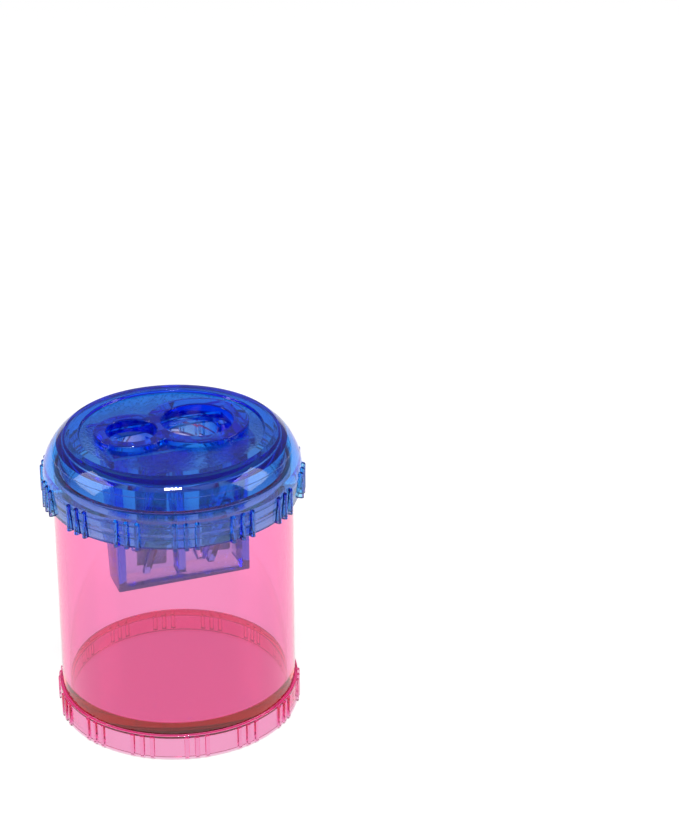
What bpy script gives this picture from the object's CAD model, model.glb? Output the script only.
import math

import bmesh
import bpy
from mathutils import Matrix, Vector


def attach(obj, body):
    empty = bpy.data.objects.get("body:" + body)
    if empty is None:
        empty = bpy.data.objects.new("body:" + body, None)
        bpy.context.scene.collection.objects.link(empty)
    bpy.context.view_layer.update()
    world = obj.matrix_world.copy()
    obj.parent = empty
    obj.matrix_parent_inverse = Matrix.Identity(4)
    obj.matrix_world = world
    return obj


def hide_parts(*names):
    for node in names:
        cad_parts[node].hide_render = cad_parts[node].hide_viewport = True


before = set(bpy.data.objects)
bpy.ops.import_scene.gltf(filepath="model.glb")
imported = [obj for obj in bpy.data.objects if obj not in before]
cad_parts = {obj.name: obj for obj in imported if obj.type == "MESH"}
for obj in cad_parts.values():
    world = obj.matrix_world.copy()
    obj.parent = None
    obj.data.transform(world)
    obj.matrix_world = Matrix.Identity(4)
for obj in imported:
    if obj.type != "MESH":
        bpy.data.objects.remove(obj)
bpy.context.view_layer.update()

MM = 0.001

# Canister
WALL_OUTER_R = 22.74
WALL_INNER_R = 21.30
FLOOR_TOP_Z = 7.35
FLOOR_THICKNESS = 3.3
FLOOR_FILLET = 0.25
FOOT_INNER_R = 21.3
BAND_OUTER_R = 23.27
BAND_HEIGHT = 5.31
SHOULDER_Z = 45.3
NECK_OUTER_R = 22.15
NECK_BEAD_HEIGHT = 0.30
NECK_BEAD_WIDTH = 1.3
NECK_BEAD_RISES = (2.2, 4.7)
RIM_RISE = 6.9

# Grip ribs
RIB_GROUPS = 14
RIB_SPACING = math.radians(4.8)
RIB_WIDTH = 0.9
BAND_RIB_PROUD = 0.38
BAND_RIB_TURN = math.radians(11.55)
LID_RIB_PROUD = 0.60
LID_RIB_TURN = math.radians(9.1)
LID_RIB_TOP_RISE = 5.6

# Lid
SKIRT_BOTTOM_Z = 45.6
SKIRT_TOP_Z = 50.6
SKIRT_OUTER_R = 24.46
SKIRT_FLARE = 0.50
SKIRT_INNER_R = 22.80
DOME_RUN = 8.07
DOME_RISE = 8.76
DOME_POWER = 1.806
DOME_WALL = 1.5
DOME_STEP_R = 22.8
DOME_STEP = 0.16
TOP_RIM_Z = 58.2
TOP_RIM_OUTER_R = 19.17
RECESS_R = 17.5
RECESS_Z = 57.7
PLATE_UNDER_Z = 56.1
INNER_RING_OUTER_R = 20.9
INNER_RING_WALL = 1.0
INNER_RING_DEPTH = 5.1
BOSS_TOP_Z = 58.75
SOCKET_WALL = 1.0
SOCKET_DEPTH = 1.7
CLEARANCE = 0.3

# Pencil holes and the line that they stand on
HOLE_LINE_TURN = math.radians(20.88)
HOLE_SPACING = 12.88
SMALL_HOLE = (-7.40, -1.47)
SMALL_HOLE_R = 4.81
SMALL_BOSS_R = 7.10
LARGE_HOLE_R = 6.84
LARGE_BOSS_R = 9.84

# Insert
INSERT_LENGTH = 25.9
INSERT_DEPTH = 14.0
INSERT_TOP_Z = 55.8
INSERT_BOTTOM_Z = 29.0
HEAD_UNDER_Z = 50.9
INSERT_LEFT = 5.4
END_WALL = 1.5
MIDDLE_BAR = 1.4
MIDDLE_BAR_SET_BACK = 1.8
GUSSET_WIDTH = 1.1
GUSSET_HEIGHT = 5.0
GUSSET_FRONT = 3.2
GUSSET_OFFSET = 1.1
GUSSET_LEAN = math.radians(20.0)
BOTTOM_PLATE = 0.9
CONE_WALL = 1.1
WEB = 1.7
CONE_TIP_R = 0.5
SEAT_SPLIT = 1.25
SMALL_U = INSERT_LEFT - INSERT_LENGTH / 2
LARGE_U = SMALL_U + HOLE_SPACING
SMALL_BORE = dict(
    name="small", u=SMALL_U, mouth=4.1, half=math.radians(12.0), turn=math.radians(25.0)
)
LARGE_BORE = dict(
    name="large", u=LARGE_U, mouth=5.8, half=math.radians(14.0), turn=math.radians(20.0)
)

# Blades and screws
BLADE_WIDTH = 5.9
BLADE_THICKNESS = 0.6
BLADE_BEVEL = 1.2
BLADE_LIFT = 1.4
BLADE_TOP_GAP = 0.6
SCREW_ACROSS = 3.7
SCREW_ALONG = 0.45
SCREW_HEAD_R = 1.7
SCREW_HEAD_HEIGHT = 0.9
SCREW_SHANK_R = 0.85
SCREW_LENGTH = 4.2
SCREW_SLOT = 0.5
SCREW_SLOT_DEPTH = 0.4
SCREW_BOSS_R = 2.1

RING_STEPS = 180
BORE_STEPS = 96
SCREW_STEPS = 40
OVERRUN = 0.4  # how far a shape runs past the one that it cuts or joins
HAIR = 0.01  # how near an edge has to lie to a face to be picked with it
SMOOTH_ANGLE = math.radians(21.0)
HOLDING = 0.04  # from an arc's end to the loop that keeps the wall beside it flat


# ---------------------------------------------------------------- shaping tools

def deselect_all():
    if bpy.context.mode != "OBJECT":
        bpy.ops.object.mode_set(mode="OBJECT")
    bpy.ops.object.select_all(action="DESELECT")


def work_on(piece):
    deselect_all()
    piece.select_set(True)
    bpy.context.view_layer.objects.active = piece


def edit(piece, kind="VERT"):
    work_on(piece)
    bpy.ops.object.mode_set(mode="EDIT")
    bpy.ops.mesh.select_mode(type=kind)


def done():
    bpy.ops.object.mode_set(mode="OBJECT")


def pick_edges(test):
    """In edit mode, selects the edges whose two ends pass the test, in millimetres."""
    shape = bmesh.from_edit_mesh(bpy.context.edit_object.data)
    bpy.ops.mesh.select_all(action="DESELECT")
    for edge in shape.edges:
        first, second = (vert.co / MM for vert in edge.verts)
        if test(first, second):
            edge.select_set(True)
    shape.select_flush_mode()
    bmesh.update_edit_mesh(bpy.context.edit_object.data)


def round_corners(outline, steps=5):
    """An outline of (r, z) or (r, z, radius) corners, with an arc at each that has a radius."""
    points = []
    for index, corner in enumerate(outline):
        here = Vector(corner[:2])
        radius = corner[2] if len(corner) > 2 else 0.0
        if radius == 0.0:
            points.append(here)
            continue
        back = (Vector(outline[index - 1][:2]) - here).normalized()
        on = (Vector(outline[index + 1][:2]) - here).normalized()
        half = back.angle(on) / 2
        start = here + back * radius / math.tan(half)
        centre = here + (back + on).normalized() * radius / math.sin(half)
        end = here + on * radius / math.tan(half)
        sweep = (start - centre).angle_signed(end - centre)
        points.append(start + back * HOLDING)
        for step in range(steps + 1):
            arm = (start - centre).copy()
            arm.rotate(Matrix.Rotation(-sweep * step / steps, 2))
            points.append(centre + arm)
        points.append(end + on * HOLDING)
    return points


def spin_outline(name, outline, steps, centre=(0.0, 0.0)):
    """Draws an outline point by point, spins it round Z and closes it into a solid."""
    deselect_all()
    bpy.ops.mesh.primitive_plane_add(size=MM)
    piece = bpy.context.object
    piece.name = name
    edit(piece)
    bpy.ops.mesh.select_all(action="SELECT")
    bpy.ops.mesh.merge(type="CENTER")
    place = Vector((0.0, 0.0))
    for point in outline:
        step = ((point.x - place.x) * MM, 0.0, (point.y - place.y) * MM)
        if point is outline[0]:
            bpy.ops.transform.translate(value=step)
        else:
            bpy.ops.mesh.extrude_vertices_move(TRANSFORM_OT_translate={"value": step})
        place = point
    bpy.ops.mesh.select_all(action="SELECT")
    bpy.ops.mesh.spin(steps=steps, angle=math.tau, center=(0, 0, 0), axis=(0, 0, 1))
    bpy.ops.mesh.select_all(action="SELECT")
    bpy.ops.mesh.remove_doubles(threshold=0.002 * MM)
    bpy.ops.mesh.normals_make_consistent(inside=False)
    bpy.ops.transform.translate(value=(centre[0] * MM, centre[1] * MM, 0.0))
    done()
    return piece


def block(name, low, high):
    """A cube brought to the size and place between two corners, in millimetres."""
    deselect_all()
    low, high = Vector(low) * MM, Vector(high) * MM
    bpy.ops.mesh.primitive_cube_add(size=1.0, location=(low + high) / 2)
    piece = bpy.context.object
    piece.name = name
    piece.scale = high - low
    bpy.ops.object.transform_apply(location=True, rotation=True, scale=True)
    return piece


def settle(piece, matrix):
    """Moves a piece by matrix and applies that, so that its place is in its mesh."""
    work_on(piece)
    piece.matrix_world = matrix
    bpy.ops.object.transform_apply(location=True, rotation=True, scale=True)
    if matrix.determinant() < 0:
        edit(piece)
        bpy.ops.mesh.select_all(action="SELECT")
        bpy.ops.mesh.normals_make_consistent(inside=False)
        done()


def modify(piece, kind, **values):
    work_on(piece)
    modifier = piece.modifiers.new(kind.title(), kind)
    for key, value in values.items():
        setattr(modifier, key, value)
    bpy.ops.object.modifier_apply(modifier=modifier.name)


def merge_with(piece, other):
    modify(piece, "BOOLEAN", operation="UNION", solver="EXACT", object=other)
    bpy.data.objects.remove(other, do_unlink=True)


def cut_with(piece, other):
    modify(piece, "BOOLEAN", operation="DIFFERENCE", solver="EXACT", object=other)
    bpy.data.objects.remove(other, do_unlink=True)


def cut_plane(piece, point, normal):
    """Cuts off what lies beyond a plane and closes the cut, in the piece's own mesh."""
    edit(piece)
    bpy.ops.mesh.select_all(action="SELECT")
    bpy.ops.mesh.bisect(
        plane_co=Vector(point) * MM,
        plane_no=Vector(normal).normalized(),
        use_fill=True,
        clear_outer=True,
    )
    bpy.ops.mesh.select_all(action="SELECT")
    bpy.ops.mesh.normals_make_consistent(inside=False)
    done()


def copies_round(piece, angles):
    """Copies of a piece turned about Z, all joined into one."""
    made = []
    for angle in angles:
        copy = piece.copy()
        copy.data = piece.data.copy()
        bpy.context.scene.collection.objects.link(copy)
        settle(copy, Matrix.Rotation(angle, 4, "Z"))
        made.append(copy)
    bpy.data.objects.remove(piece, do_unlink=True)
    deselect_all()
    for copy in made:
        copy.select_set(True)
    bpy.context.view_layer.objects.active = made[0]
    bpy.ops.object.join()
    return bpy.context.object


def smooth(piece):
    work_on(piece)
    bpy.ops.object.shade_smooth_by_angle(angle=SMOOTH_ANGLE)


def rib_angles(turn):
    return [
        turn + group * math.tau / RIB_GROUPS + place * RIB_SPACING
        for group in range(RIB_GROUPS)
        for place in (-1, 0, 1)
    ]


# ---------------------------------------------------------------- canister

def neck_outline():
    """The two snap beads on the neck, from the upper one down."""
    points = []
    for rise in reversed(NECK_BEAD_RISES):
        middle = SHOULDER_Z + rise
        half = NECK_BEAD_WIDTH / 2
        proud = NECK_OUTER_R + NECK_BEAD_HEIGHT
        points.append((NECK_OUTER_R, middle + half, 0.25))
        points.append((proud, middle + half / 3, 0.25))
        points.append((proud, middle - half / 3, 0.25))
        points.append((NECK_OUTER_R, middle - half, 0.25))
    return points


def make_canister():
    rim = SHOULDER_Z + RIM_RISE
    under = FLOOR_TOP_Z - FLOOR_THICKNESS
    outline = [
        (0.0, FLOOR_TOP_Z),
        (WALL_INNER_R, FLOOR_TOP_Z, FLOOR_FILLET),
        (WALL_INNER_R, rim, 0.2),
        (NECK_OUTER_R, rim, 0.3),
        *neck_outline(),
        (NECK_OUTER_R, SHOULDER_Z, 0.12),
        (WALL_OUTER_R, SHOULDER_Z, 0.15),
        (WALL_OUTER_R, BAND_HEIGHT, 0.08),
        (BAND_OUTER_R, BAND_HEIGHT, 0.22),
        (BAND_OUTER_R, 0.0, 0.25),
        (FOOT_INNER_R, 0.0, 0.2),
        (FOOT_INNER_R, under, 0.35),
        (0.0, under),
    ]
    canister = spin_outline("canister_shell", round_corners(outline), RING_STEPS)
    rib = block(
        "band_rib",
        (-RIB_WIDTH / 2, -BAND_OUTER_R - BAND_RIB_PROUD, 0.30),
        (RIB_WIDTH / 2, -BAND_OUTER_R + OVERRUN, BAND_HEIGHT - 0.30),
    )
    edit(rib, "EDGE")
    front = -BAND_OUTER_R - BAND_RIB_PROUD + HAIR
    pick_edges(lambda a, b: a.y < front and b.y < front)
    bpy.ops.mesh.bevel(offset=0.2 * MM, segments=3)
    done()
    merge_with(canister, copies_round(rib, rib_angles(BAND_RIB_TURN)))
    smooth(canister)
    return canister


# ---------------------------------------------------------------- lid

def dome_point(angle, run, rise):
    """A point on the dome's curve: angle 0 is its top, a right angle is the skirt's top."""
    radius = SKIRT_OUTER_R - DOME_RUN + run * math.sin(angle) ** (2 / DOME_POWER)
    return radius, SKIRT_TOP_Z + rise * math.cos(angle) ** (2 / DOME_POWER)


def dome_curve(from_r, to_r, run, rise, steps):
    """Points of the dome's curve between two radii, from the top outwards."""
    foot_r = SKIRT_OUTER_R - DOME_RUN

    def angle_at(radius):
        return math.asin(min(1.0, (radius - foot_r) / run) ** (DOME_POWER / 2))

    first, last = angle_at(from_r), angle_at(to_r)
    return [
        dome_point(first + (last - first) * step / steps, run, rise)
        for step in range(steps + 1)
    ]


def lid_outline():
    cosine = ((TOP_RIM_Z - SKIRT_TOP_Z) / DOME_RISE) ** (DOME_POWER / 2)
    shoulder_r = dome_point(math.acos(cosine), DOME_RUN, DOME_RISE)[0] + 0.3
    ring_bottom = PLATE_UNDER_Z - INNER_RING_DEPTH
    ring_inner = INNER_RING_OUTER_R - INNER_RING_WALL
    outside = dome_curve(shoulder_r, DOME_STEP_R, DOME_RUN, DOME_RISE, 18)
    inwards = DOME_STEP / 4
    below = dome_curve(
        DOME_STEP_R, SKIRT_OUTER_R - inwards, DOME_RUN - inwards, DOME_RISE - DOME_STEP, 16
    )
    inside = dome_curve(
        INNER_RING_OUTER_R, SKIRT_INNER_R, DOME_RUN - DOME_WALL, DOME_RISE - DOME_WALL, 18
    )
    return [
        (0.0, RECESS_Z),
        (RECESS_R - 0.25, RECESS_Z, 0.15),
        (RECESS_R, TOP_RIM_Z, 0.15),
        (TOP_RIM_OUTER_R, TOP_RIM_Z, 0.3),
        *outside[:-1],
        (*outside[-1], 0.05),
        (*below[0], 0.04),
        *below[1:],
        (SKIRT_OUTER_R, SKIRT_TOP_Z),
        (SKIRT_OUTER_R - SKIRT_FLARE, SKIRT_BOTTOM_Z, 0.2),
        (SKIRT_INNER_R, SKIRT_BOTTOM_Z, 0.2),
        *reversed(inside),
        (INNER_RING_OUTER_R, ring_bottom, 0.25),
        (ring_inner, ring_bottom, 0.25),
        (ring_inner, PLATE_UNDER_Z, 0.3),
        (0.0, PLATE_UNDER_Z),
    ]


def skirt_ribs():
    """Rounded ribs with domed tops, in threes round the skirt."""
    outer = SKIRT_OUTER_R + LID_RIB_PROUD
    back = -SKIRT_OUTER_R + SKIRT_FLARE + 0.35
    dome = 0.45
    top = SKIRT_BOTTOM_Z + LID_RIB_TOP_RISE - dome
    rib = block(
        "skirt_rib",
        (-RIB_WIDTH / 2, -outer, SKIRT_BOTTOM_Z + 0.15),
        (RIB_WIDTH / 2, back, top),
    )
    edit(rib, "EDGE")
    front = -outer + HAIR
    pick_edges(lambda a, b: a.y < front and b.y < front and abs(a.z - b.z) > 1)
    bpy.ops.mesh.bevel(offset=0.42 * MM, segments=5)
    pick_edges(lambda a, b: a.z > top - HAIR and b.z > top - HAIR)
    bpy.ops.mesh.select_mode(type="FACE")
    turns = [math.radians(turn) for turn in (0, 20, 40, 58, 74)]
    for before, after in zip(turns, turns[1:]):
        rise = dome * (math.sin(after) - math.sin(before)) * MM
        shrink = math.cos(after) / math.cos(before)
        bpy.ops.mesh.extrude_region_move(TRANSFORM_OT_translate={"value": (0.0, 0.0, rise)})
        bpy.ops.transform.resize(value=(shrink, shrink, 1.0), center_override=(0.0, back * MM, 0.0))
    done()
    return copies_round(rib, rib_angles(LID_RIB_TURN))


def boss_solid(name, radius, centre):
    outline = [
        (0.0, RECESS_Z - OVERRUN),
        (radius, RECESS_Z - OVERRUN),
        (radius, BOSS_TOP_Z, 0.25),
        (0.0, BOSS_TOP_Z),
    ]
    return spin_outline(name, round_corners(outline), BORE_STEPS, centre)


def hole_cutter(name, radius, centre):
    """A drill whose top flares, so that the hole's mouth comes out rounded."""
    lip = 0.25
    outline = [
        (0.0, PLATE_UNDER_Z - OVERRUN),
        (radius, PLATE_UNDER_Z - OVERRUN),
        (radius, BOSS_TOP_Z - lip),
        *(
            (
                radius + lip * (1 - math.cos(step * math.pi / 12)),
                BOSS_TOP_Z - lip * (1 - math.sin(step * math.pi / 12)),
            )
            for step in range(1, 7)
        ),
        (radius + lip, BOSS_TOP_Z + OVERRUN),
        (0.0, BOSS_TOP_Z + OVERRUN),
    ]
    return spin_outline(name, round_corners(outline), BORE_STEPS, centre)


def insert_frame():
    """Places the insert's own frame (u, -v, z) in the object; +v runs to the front."""
    along = Vector((math.cos(HOLE_LINE_TURN), math.sin(HOLE_LINE_TURN), 0.0))
    middle = Vector((*SMALL_HOLE, 0.0)) - SMALL_U * along
    return Matrix.Translation(middle * MM) @ Matrix.Rotation(HOLE_LINE_TURN, 4, "Z")


FRAME = insert_frame()


def hole_centre(bore):
    return tuple((FRAME @ Vector((bore["u"] * MM, 0, 0))).xy / MM)


def make_lid():
    lid = spin_outline("lid_cap", round_corners(lid_outline()), RING_STEPS)
    merge_with(lid, skirt_ribs())
    merge_with(lid, boss_solid("small_boss", SMALL_BOSS_R, hole_centre(SMALL_BORE)))
    merge_with(lid, boss_solid("large_boss", LARGE_BOSS_R, hole_centre(LARGE_BORE)))

    half_u = INSERT_LENGTH / 2 + CLEARANCE
    half_v = INSERT_DEPTH / 2 + CLEARANCE
    low = PLATE_UNDER_Z - SOCKET_DEPTH
    wall = SOCKET_WALL
    fence = block(
        "insert_socket",
        (-half_u - wall, -half_v - wall, low),
        (half_u + wall, half_v + wall, PLATE_UNDER_Z + OVERRUN),
    )
    edit(fence, "EDGE")
    pick_edges(lambda a, b: abs(a.z - b.z) > 1)
    bpy.ops.mesh.bevel(offset=0.8 * MM, segments=4)
    done()
    settle(fence, FRAME)
    room = block("socket_room", (-half_u, -half_v, low - OVERRUN), (half_u, half_v, PLATE_UNDER_Z))
    settle(room, FRAME)
    merge_with(lid, fence)
    cut_with(lid, room)
    cut_with(lid, hole_cutter("small_hole", SMALL_HOLE_R, hole_centre(SMALL_BORE)))
    cut_with(lid, hole_cutter("large_hole", LARGE_HOLE_R, hole_centre(LARGE_BORE)))
    smooth(lid)
    return lid


# ---------------------------------------------------------------- insert, blades and screws

def cone_point_z(bore):
    return HEAD_UNDER_Z - bore["mouth"] / math.tan(bore["half"])


class Seat:
    """The flat that a blade lies on. It holds one straight line of its bore's cone."""

    def __init__(self, bore):
        half, turn = bore["half"], bore["turn"]
        self.point = Vector((bore["u"], 0.0, cone_point_z(bore)))
        self.edge = Vector(
            (math.sin(half) * math.sin(turn), math.sin(half) * math.cos(turn), math.cos(half))
        ).normalized()
        self.out = self.edge.cross(Vector((1, 0, 0))).normalized()
        if self.out.y < 0:
            self.out = -self.out
        self.across = self.out.cross(self.edge).normalized()
        if self.across.x < 0:
            self.across = -self.across
        self.blade_start = (INSERT_BOTTOM_Z + BLADE_LIFT - self.point.z) / self.edge.z
        usable = (HEAD_UNDER_Z - self.point.z - BLADE_TOP_GAP) / self.edge.z
        self.blade_length = usable - self.blade_start - BLADE_WIDTH * abs(self.across.z)
        self.screw_across = SCREW_ACROSS
        self.screw_along = self.blade_start + SCREW_ALONG * self.blade_length

    def matrix(self):
        """From (across, along the cutting edge, out) to the object."""
        axes = Matrix((self.across, self.edge, self.out)).transposed().to_4x4()
        return FRAME @ Matrix.Translation(self.point * MM) @ axes


def cone_outline(bore, grow, top):
    point = cone_point_z(bore)
    tip = point + CONE_TIP_R / math.tan(bore["half"])
    mouth = bore["mouth"] + grow
    return [
        (0.0, top),
        (mouth, top),
        (mouth, HEAD_UNDER_Z),
        (CONE_TIP_R + grow, tip),
        (0.0, tip - grow),
    ]


def make_insert():
    half_u, half_v = INSERT_LENGTH / 2, INSERT_DEPTH / 2
    insert = block(
        "insert_body", (-half_u, -half_v, INSERT_BOTTOM_Z), (half_u, half_v, INSERT_TOP_Z)
    )
    edit(insert, "EDGE")
    pick_edges(lambda a, b: True)
    bpy.ops.mesh.bevel(offset=0.22 * MM, segments=3)
    done()
    bays = (
        (SMALL_BORE, -half_u - OVERRUN, SEAT_SPLIT, -half_u + END_WALL, -MIDDLE_BAR / 2),
        (LARGE_BORE, SEAT_SPLIT, half_u + OVERRUN, MIDDLE_BAR / 2, half_u - END_WALL),
    )
    for bore, seat_left, seat_right, pocket_left, pocket_right in bays:
        seat = Seat(bore)
        behind = block(
            f"{bore['name']}_seat_cut",
            (seat_left, -half_v - OVERRUN, INSERT_BOTTOM_Z - OVERRUN),
            (seat_right, half_v + OVERRUN, HEAD_UNDER_Z),
        )
        cut_plane(behind, seat.point, -seat.out)
        cut_with(insert, behind)

        pocket = block(
            f"{bore['name']}_pocket",
            (pocket_left, -half_v - OVERRUN, INSERT_BOTTOM_Z + BOTTOM_PLATE),
            (pocket_right, half_v, HEAD_UNDER_Z),
        )
        edit(pocket, "EDGE")
        pick_edges(lambda a, b: abs(a.y - b.y) > 1)
        bpy.ops.mesh.bevel(offset=0.35 * MM, segments=3)
        done()
        cut_plane(pocket, seat.point - WEB * seat.out, seat.out)
        outline = round_corners(cone_outline(bore, CONE_WALL, HEAD_UNDER_Z + OVERRUN))
        cut_with(pocket, spin_outline("cone_body", outline, BORE_STEPS, (bore["u"], 0.0)))
        screw_boss = spin_outline(
            "screw_boss",
            round_corners(
                [
                    (0.0, OVERRUN),
                    (SCREW_BOSS_R, OVERRUN),
                    (SCREW_BOSS_R, -SCREW_LENGTH - WEB, 0.3),
                    (0.0, -SCREW_LENGTH - WEB),
                ]
            ),
            SCREW_STEPS,
            (seat.screw_across, seat.screw_along),
        )
        settle(screw_boss, FRAME.inverted() @ seat.matrix())
        cut_with(pocket, screw_boss)
        gusset = block(
            "gusset",
            (-GUSSET_WIDTH / 2, -GUSSET_FRONT, -GUSSET_HEIGHT),
            (GUSSET_WIDTH / 2, half_v, GUSSET_HEIGHT / math.cos(GUSSET_LEAN)),
        )
        foot = Vector((bore["u"] + GUSSET_OFFSET, 0.0, INSERT_BOTTOM_Z + BOTTOM_PLATE)) * MM
        settle(gusset, Matrix.Translation(foot) @ Matrix.Rotation(GUSSET_LEAN, 4, "Y"))
        cut_with(pocket, gusset)
        cut_with(insert, pocket)
    relief = block(
        "middle_bar_relief",
        (-MIDDLE_BAR, -half_v - OVERRUN, INSERT_BOTTOM_Z + BOTTOM_PLATE),
        (MIDDLE_BAR, -half_v + MIDDLE_BAR_SET_BACK, HEAD_UNDER_Z),
    )
    cut_with(insert, relief)
    for bore, *_ in bays:
        seat = Seat(bore)
        outline = round_corners(cone_outline(bore, 0.0, INSERT_TOP_Z + OVERRUN))
        cut_with(insert, spin_outline("bore", outline, BORE_STEPS, (bore["u"], 0.0)))
        pilot = spin_outline(
            "pilot_hole",
            round_corners(
                [
                    (0.0, OVERRUN),
                    (SCREW_SHANK_R + CLEARANCE, OVERRUN),
                    (SCREW_SHANK_R + CLEARANCE, -SCREW_LENGTH - CLEARANCE),
                    (0.0, -SCREW_LENGTH - CLEARANCE),
                ]
            ),
            SCREW_STEPS,
            (seat.screw_across, seat.screw_along),
        )
        settle(pilot, FRAME.inverted() @ seat.matrix())
        cut_with(insert, pilot)
    settle(insert, FRAME)
    smooth(insert)
    return insert


def make_blade(bore):
    """A steel strip with one ground edge, its corners just broken."""
    seat = Seat(bore)
    low = seat.blade_start
    blade = block(
        f"{bore['name']}_blade_strip",
        (0.0, low, CLEARANCE),
        (BLADE_WIDTH, low + seat.blade_length, CLEARANCE + BLADE_THICKNESS),
    )
    cut_plane(blade, (0.0, 0.0, CLEARANCE), (-BLADE_THICKNESS, 0.0, BLADE_BEVEL))
    edit(blade, "EDGE")
    right = BLADE_WIDTH - HAIR
    pick_edges(lambda a, b: a.x > right and b.x > right and abs(a.z - b.z) > 0.3)
    bpy.ops.mesh.bevel(offset=0.5 * MM, segments=4)
    done()
    drill = spin_outline(
        "blade_drill",
        round_corners(
            [
                (0.0, 0.0),
                (SCREW_SHANK_R + CLEARANCE, 0.0),
                (SCREW_SHANK_R + CLEARANCE, 1.5),
                (0.0, 1.5),
            ]
        ),
        SCREW_STEPS,
        (seat.screw_across, seat.screw_along),
    )
    cut_with(blade, drill)
    settle(blade, seat.matrix())
    smooth(blade)
    return blade


def make_screw(bore):
    """A slotted screw with a domed head and turned threads."""
    seat = Seat(bore)
    under = CLEARANCE + BLADE_THICKNESS + CLEARANCE
    head = under + SCREW_HEAD_HEIGHT
    tip = under - SCREW_LENGTH
    outline = [
        (0.0, head),
        (SCREW_HEAD_R * 0.7, head, 0.6),
        (SCREW_HEAD_R, head - SCREW_HEAD_HEIGHT * 0.45, 0.15),
        (SCREW_HEAD_R, under, 0.1),
        (SCREW_SHANK_R, under, 0.05),
    ]
    depth = under - 0.35
    while depth > tip + SCREW_SHANK_R + 0.45:
        outline.append((SCREW_SHANK_R, depth))
        outline.append((SCREW_SHANK_R - 0.16, depth - 0.2))
        depth -= 0.4
    outline.append((SCREW_SHANK_R, tip + SCREW_SHANK_R))
    outline.append((0.0, tip))
    place = (seat.screw_across, seat.screw_along)
    screw = spin_outline(f"{bore['name']}_screw_body", round_corners(outline), SCREW_STEPS, place)
    slot = block(
        "screw_slot",
        (place[0] - 2.2, place[1] - SCREW_SLOT / 2, head - SCREW_SLOT_DEPTH),
        (place[0] + 2.2, place[1] + SCREW_SLOT / 2, head + OVERRUN),
    )
    settle(slot, Matrix.Identity(4))
    cut_with(screw, slot)
    settle(screw, seat.matrix())
    smooth(screw)
    return screw


# ---------------------------------------------------------------- finishes

def new_material(name):
    material = bpy.data.materials.new(name)
    material.use_nodes = True
    return material, material.node_tree, material.node_tree.nodes["Principled BSDF"]


def group_sockets(tree, inputs, outputs):
    for name, default in inputs:
        socket = tree.interface.new_socket(name, in_out="INPUT", socket_type="NodeSocketFloat")
        socket.default_value = default
    for name in outputs:
        tree.interface.new_socket(name, in_out="OUTPUT", socket_type="NodeSocketFloat")
    return tree.nodes.new("NodeGroupInput"), tree.nodes.new("NodeGroupOutput")


def sum_node(tree, operation, first, second=None, third=None):
    node = tree.nodes.new("ShaderNodeMath")
    node.operation = operation
    for socket, value in zip(node.inputs, (first, second, third)):
        if value is None:
            continue
        if isinstance(value, (int, float)):
            socket.default_value = value
        else:
            tree.links.new(value, socket)
    return node.outputs[0]


def noise_node(tree, vector, scale, detail=2.0, roughness=0.5):
    node = tree.nodes.new("ShaderNodeTexNoise")
    node.inputs["Detail"].default_value = detail
    node.inputs["Roughness"].default_value = roughness
    if isinstance(scale, (int, float)):
        node.inputs["Scale"].default_value = scale
    else:
        tree.links.new(scale, node.inputs["Scale"])
    tree.links.new(vector, node.inputs["Vector"])
    return node.outputs["Fac"]


def ramp_node(tree, value, low, high):
    node = tree.nodes.new("ShaderNodeMapRange")
    node.interpolation_type = "SMOOTHSTEP"
    node.inputs["From Min"].default_value = low
    node.inputs["From Max"].default_value = high
    tree.links.new(value, node.inputs["Value"])
    return node.outputs["Result"]


def object_place(tree):
    return tree.nodes.new("ShaderNodeTexCoord").outputs["Object"]


def moulded_skin():
    """Gloss that varies a little and the faint waves that a moulding's skin has."""
    tree = bpy.data.node_groups.new("moulded_skin", "ShaderNodeTree")
    inputs, outputs = group_sockets(
        tree,
        (("Gloss", 0.03), ("Haze", 0.04), ("Waves", 0.5)),
        ("Roughness", "Height"),
    )
    place = object_place(tree)
    cloud = ramp_node(tree, noise_node(tree, place, 90.0, 3.0), 0.35, 0.75)
    rub = ramp_node(tree, noise_node(tree, place, 900.0, 4.0, 0.7), 0.55, 0.8)
    worn = sum_node(tree, "MULTIPLY", cloud, rub)
    haze = sum_node(tree, "MULTIPLY", inputs.outputs["Haze"], worn)
    roughness = sum_node(tree, "ADD", inputs.outputs["Gloss"], haze)
    tree.links.new(roughness, outputs.inputs["Roughness"])
    wave = noise_node(tree, place, 110.0, 1.0)
    height = sum_node(tree, "MULTIPLY", wave, inputs.outputs["Waves"])
    tree.links.new(height, outputs.inputs["Height"])
    return tree


def stippled_patch():
    """A spark-textured round patch that faces up at one level, as a mask and a height."""
    tree = bpy.data.node_groups.new("stippled_patch", "ShaderNodeTree")
    inputs, outputs = group_sockets(
        tree,
        (("Level", RECESS_Z * MM), ("Radius", 17.1 * MM), ("Grain", 1500.0)),
        ("Mask", "Height"),
    )
    place = object_place(tree)
    split = tree.nodes.new("ShaderNodeSeparateXYZ")
    tree.links.new(place, split.inputs[0])
    across = sum_node(tree, "MULTIPLY", split.outputs["X"], split.outputs["X"])
    deep = sum_node(tree, "MULTIPLY", split.outputs["Y"], split.outputs["Y"])
    radius = sum_node(tree, "SQRT", sum_node(tree, "ADD", across, deep))
    within = sum_node(tree, "LESS_THAN", radius, inputs.outputs["Radius"])
    level = sum_node(tree, "COMPARE", split.outputs["Z"], inputs.outputs["Level"], 0.05 * MM)
    mask = sum_node(tree, "MULTIPLY", within, level)
    cells = tree.nodes.new("ShaderNodeTexVoronoi")
    cells.feature = "SMOOTH_F1"
    cells.inputs["Smoothness"].default_value = 0.3
    tree.links.new(place, cells.inputs["Vector"])
    tree.links.new(inputs.outputs["Grain"], cells.inputs["Scale"])
    pits = ramp_node(tree, cells.outputs["Distance"], 0.10, 0.55)
    tree.links.new(mask, outputs.inputs["Mask"])
    tree.links.new(sum_node(tree, "MULTIPLY", mask, pits), outputs.inputs["Height"])
    return tree


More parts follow.
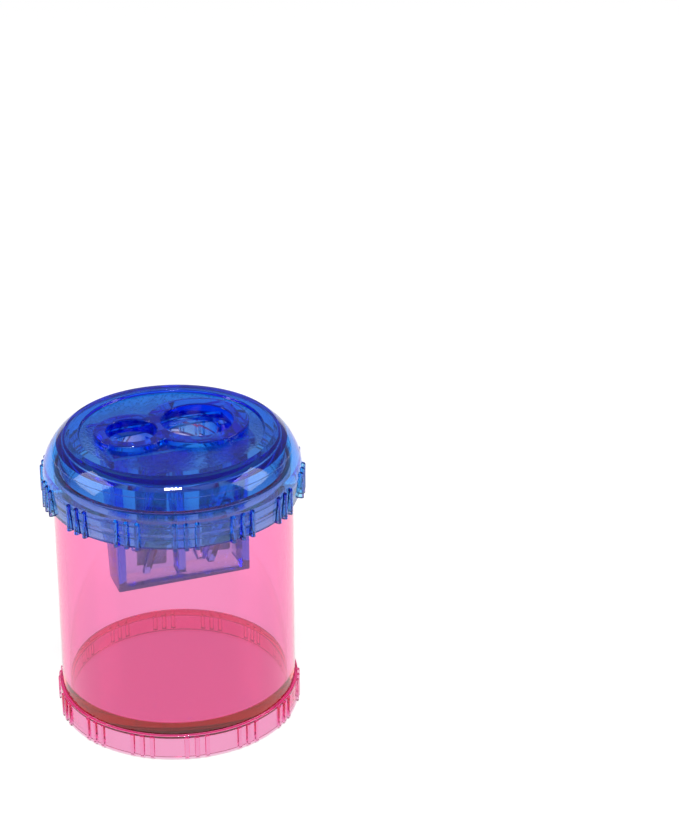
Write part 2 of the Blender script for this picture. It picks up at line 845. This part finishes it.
def steel_wear():
    """Fine scratches along the piece and a few dull spots, as a mask."""
    tree = bpy.data.node_groups.new("steel_wear", "ShaderNodeTree")
    tree.interface.new_socket("Vector", in_out="INPUT", socket_type="NodeSocketVector")
    inputs, outputs = group_sockets(tree, (("Amount", 1.0),), ("Scratches", "Spots"))
    fine = noise_node(tree, inputs.outputs["Vector"], 1.0, 4.0, 0.6)
    spots = noise_node(tree, object_place(tree), 700.0, 3.0, 0.6)
    tree.links.new(
        sum_node(tree, "MULTIPLY", ramp_node(tree, fine, 0.35, 0.7), inputs.outputs["Amount"]),
        outputs.inputs["Scratches"],
    )
    tree.links.new(
        sum_node(tree, "MULTIPLY", ramp_node(tree, spots, 0.58, 0.75), inputs.outputs["Amount"]),
        outputs.inputs["Spots"],
    )
    return tree


SKIN = moulded_skin()
STIPPLE = stippled_patch()
WEAR = steel_wear()


def place_group(tree, group, **values):
    node = tree.nodes.new("ShaderNodeGroup")
    node.node_tree = group
    for key, value in values.items():
        node.inputs[key].default_value = value
    return node


def clear_plastic(name, absorbed, gloss, haze, waves, stippled=False):
    """Clear tinted plastic. absorbed is how much red, green and blue a metre of it takes."""
    material, tree, shader = new_material(name)
    shader.inputs["Base Color"].default_value = (1.0, 1.0, 1.0, 1.0)
    shader.inputs["Transmission Weight"].default_value = 1.0
    shader.inputs["IOR"].default_value = 1.57
    most = max(absorbed)
    tint = tree.nodes.new("ShaderNodeVolumeAbsorption")
    tint.inputs["Density"].default_value = most
    tint.inputs["Color"].default_value = (*(1.0 - part / most for part in absorbed), 1.0)
    output = tree.nodes["Material Output"]
    tree.links.new(tint.outputs[0], output.inputs["Volume"])
    skin = place_group(tree, SKIN, Gloss=gloss, Haze=haze, Waves=waves)
    roughness = skin.outputs["Roughness"]
    height = skin.outputs["Height"]
    if stippled:
        patch = place_group(tree, STIPPLE)
        roughness = sum_node(tree, "MULTIPLY_ADD", patch.outputs["Mask"], 0.15, roughness)
        height = sum_node(tree, "MULTIPLY_ADD", patch.outputs["Height"], 6.0, height)
    tree.links.new(roughness, shader.inputs["Roughness"])
    bump = tree.nodes.new("ShaderNodeBump")
    bump.inputs["Strength"].default_value = 0.25
    bump.inputs["Distance"].default_value = 0.03 * MM
    tree.links.new(height, bump.inputs["Height"])
    tree.links.new(bump.outputs["Normal"], shader.inputs["Normal"])
    return material


def steel(name, colour, gloss, turn, stretch, amount):
    """Ground steel, its grain running along the direction that turn gives."""
    material, tree, shader = new_material(name)
    shader.inputs["Metallic"].default_value = 1.0
    mapping = tree.nodes.new("ShaderNodeMapping")
    mapping.inputs["Rotation"].default_value = turn
    mapping.inputs["Scale"].default_value = stretch
    tree.links.new(object_place(tree), mapping.inputs["Vector"])
    wear = place_group(tree, WEAR, Amount=amount)
    tree.links.new(mapping.outputs["Vector"], wear.inputs["Vector"])
    mix = tree.nodes.new("ShaderNodeMix")
    mix.data_type = "RGBA"
    mix.inputs["A"].default_value = (*colour, 1.0)
    mix.inputs["B"].default_value = (*(0.55 * part for part in colour), 1.0)
    tree.links.new(wear.outputs["Spots"], mix.inputs["Factor"])
    tree.links.new(mix.outputs["Result"], shader.inputs["Base Color"])
    rough = sum_node(tree, "MULTIPLY_ADD", wear.outputs["Scratches"], 0.18, gloss)
    tree.links.new(rough, shader.inputs["Roughness"])
    bump = tree.nodes.new("ShaderNodeBump")
    bump.inputs["Strength"].default_value = 0.25
    bump.inputs["Distance"].default_value = 0.01 * MM
    tree.links.new(wear.outputs["Scratches"], bump.inputs["Height"])
    tree.links.new(bump.outputs["Normal"], shader.inputs["Normal"])
    return material


def dress(piece, material, body, node):
    """Gives a finished piece its material and ties it to the frame."""
    piece.data.name = piece.name
    piece.data.materials.clear()
    piece.data.materials.append(material)
    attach(piece, body)
    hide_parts(node)


# ---------------------------------------------------------------- the object

pink = clear_plastic(
    "clear_pink_plastic", absorbed=(22.0, 455.0, 215.0), gloss=0.025, haze=0.03, waves=0.5
)
lid_blue = clear_plastic(
    "clear_blue_plastic", (1250.0, 330.0, 20.0), gloss=0.03, haze=0.04, waves=0.5, stippled=True
)
insert_blue = clear_plastic(
    "insert_blue_plastic", absorbed=(520.0, 230.0, 4.0), gloss=0.05, haze=0.05, waves=0.5
)

dress(make_canister(), pink, "canister_body", "canister")
dress(make_lid(), lid_blue, "lid_body", "lid")
dress(make_insert(), insert_blue, "lid_body", "sharpener_insert")
for bore in (SMALL_BORE, LARGE_BORE):
    seat = Seat(bore)
    turn = tuple(seat.matrix().to_3x3().transposed().to_euler())
    name = bore["name"]
    ground = steel(
        f"{name}_blade_steel", (0.60, 0.61, 0.62), 0.22, turn, (9000, 300, 9000), 1.0
    )
    plated = steel(
        f"{name}_screw_steel", (0.66, 0.63, 0.56), 0.24, turn, (2500, 2500, 2500), 0.7
    )
    dress(make_blade(bore), ground, "lid_body", f"{name}_blade")
    dress(make_screw(bore), plated, "lid_body", f"{name}_blade_screw")


# ---------------------------------------------------------------- stage, light and camera

def make_stage():
    deselect_all()
    bpy.ops.mesh.primitive_plane_add(size=4.0, location=(0.0, 0.4, 0.0))
    floor = bpy.context.object
    floor.name = "studio_floor"
    bpy.ops.object.transform_apply(location=True)
    material, _, shader = new_material("studio_paper")
    shader.inputs["Base Color"].default_value = (0.42, 0.42, 0.42, 1.0)
    shader.inputs["Roughness"].default_value = 0.9
    shader.inputs["Emission Color"].default_value = (1.0, 1.0, 1.0, 1.0)
    shader.inputs["Emission Strength"].default_value = 0.80
    floor.data.materials.append(material)


def softbox(name, size, place, target, power):
    light = bpy.data.lights.new(name, "AREA")
    light.shape = "RECTANGLE"
    light.size, light.size_y = size
    light.energy = power
    lamp = bpy.data.objects.new(name, light)
    bpy.context.scene.collection.objects.link(lamp)
    lamp.location = place
    lamp.rotation_euler = (Vector(target) - Vector(place)).to_track_quat("-Z", "Y").to_euler()


def make_light():
    world = bpy.data.worlds.new("studio_room")
    bpy.context.scene.world = world
    world.use_nodes = True
    background = world.node_tree.nodes["Background"]
    background.inputs["Color"].default_value = (1.0, 1.0, 1.0, 1.0)
    background.inputs["Strength"].default_value = 0.25
    middle = (0.0, 0.0, 0.03)
    softbox("key_softbox", (0.12, 0.05), (0.02, -0.30, 0.58), middle, 1.4)
    softbox("left_softbox", (0.4, 0.4), (-0.68, -0.08, 0.48), middle, 1.5)
    softbox("right_softbox", (0.4, 0.4), (0.70, -0.02, 0.50), middle, 1.5)


def make_camera():
    data = bpy.data.cameras.new("view_camera")
    data.sensor_width = 36.0
    data.lens = 108.96
    camera = bpy.data.objects.new("view_camera", data)
    camera.location = (0.03147, -0.42021, 0.26347)
    camera.rotation_euler = (math.radians(90.0 - 25.65), 0.0, 0.0)
    bpy.context.scene.collection.objects.link(camera)
    bpy.context.scene.camera = camera


make_stage()
make_light()
make_camera()

# Light runs on inside clear plastic for many reflections
cycles = bpy.context.scene.cycles
cycles.max_bounces = 32
cycles.transmission_bounces = 32
cycles.glossy_bounces = 32
bpy.context.scene.view_settings.view_transform = "Standard"
